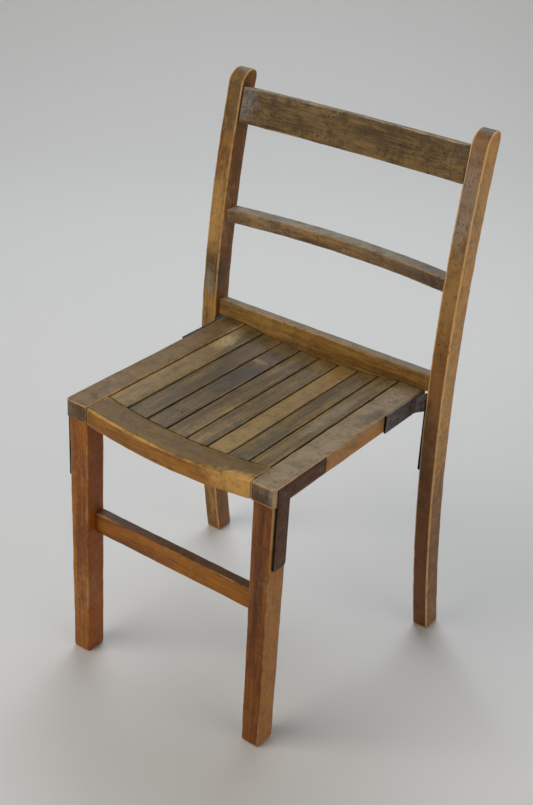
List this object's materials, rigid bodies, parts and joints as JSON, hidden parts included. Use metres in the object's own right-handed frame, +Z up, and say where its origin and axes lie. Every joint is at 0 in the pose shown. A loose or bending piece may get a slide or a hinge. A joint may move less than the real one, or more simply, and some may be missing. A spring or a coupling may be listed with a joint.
{
  "type": "dining chair",
  "caption": "Rigid wooden stacking chair with a dished slat seat, curved back posts, bowed back rails and flat steel corner brackets.",
  "frame": {"origin": "on the floor, in the middle of the chair's footprint", "axes": "+Z up, the chair faces -Y, +X is the right-hand side as seen from the front; left and right in node names are as seen from the front"},
  "size_m": [0.4658, 0.4424, 0.844],
  "materials": {
    "worn_top_wood": "worn stained hardwood, greyed, satin",
    "golden_wood": "worn varnished hardwood, golden brown, satin",
    "stained_wood": "red-brown stained and varnished hardwood, satin",
    "painted_steel": "dark brown painted flat steel, chipped",
    "screw_steel": "tarnished steel"
  },
  "bodies": {
    "root": {"side_rail_right": "worn_top_wood", "side_rail_left": "worn_top_wood", "seat_slat_1": "worn_top_wood", "seat_slat_2": "worn_top_wood", "seat_slat_3": "worn_top_wood", "seat_slat_4": "worn_top_wood", "seat_slat_5": "worn_top_wood", "seat_slat_6": "worn_top_wood", "seat_slat_7": "worn_top_wood", "seat_slat_8": "worn_top_wood", "mid_rail": "worn_top_wood", "front_rail": "golden_wood", "crest_rail": "golden_wood", "rear_bearer": "stained_wood", "front_leg_right": "stained_wood", "front_leg_left": "stained_wood", "front_stretcher": "stained_wood", "back_post_right": "stained_wood", "back_post_left": "stained_wood", "seat_back_rail": "stained_wood", "front_bracket_right": "painted_steel", "front_bracket_left": "painted_steel", "rear_bracket_right": "painted_steel", "rear_bracket_left": "painted_steel", "front_screw_1_right": "screw_steel", "front_screw_1_left": "screw_steel", "front_screw_2_right": "screw_steel", "front_screw_2_left": "screw_steel", "front_screw_3_right": "screw_steel", "front_screw_3_left": "screw_steel", "front_screw_4_right": "screw_steel", "front_screw_4_left": "screw_steel", "rear_screw_1_right": "screw_steel", "rear_screw_1_left": "screw_steel", "rear_screw_2_right": "screw_steel", "rear_screw_2_left": "screw_steel", "rear_screw_3_right": "screw_steel", "rear_screw_3_left": "screw_steel", "rear_screw_4_right": "screw_steel", "rear_screw_4_left": "screw_steel"}
  },
  "joints": []
}
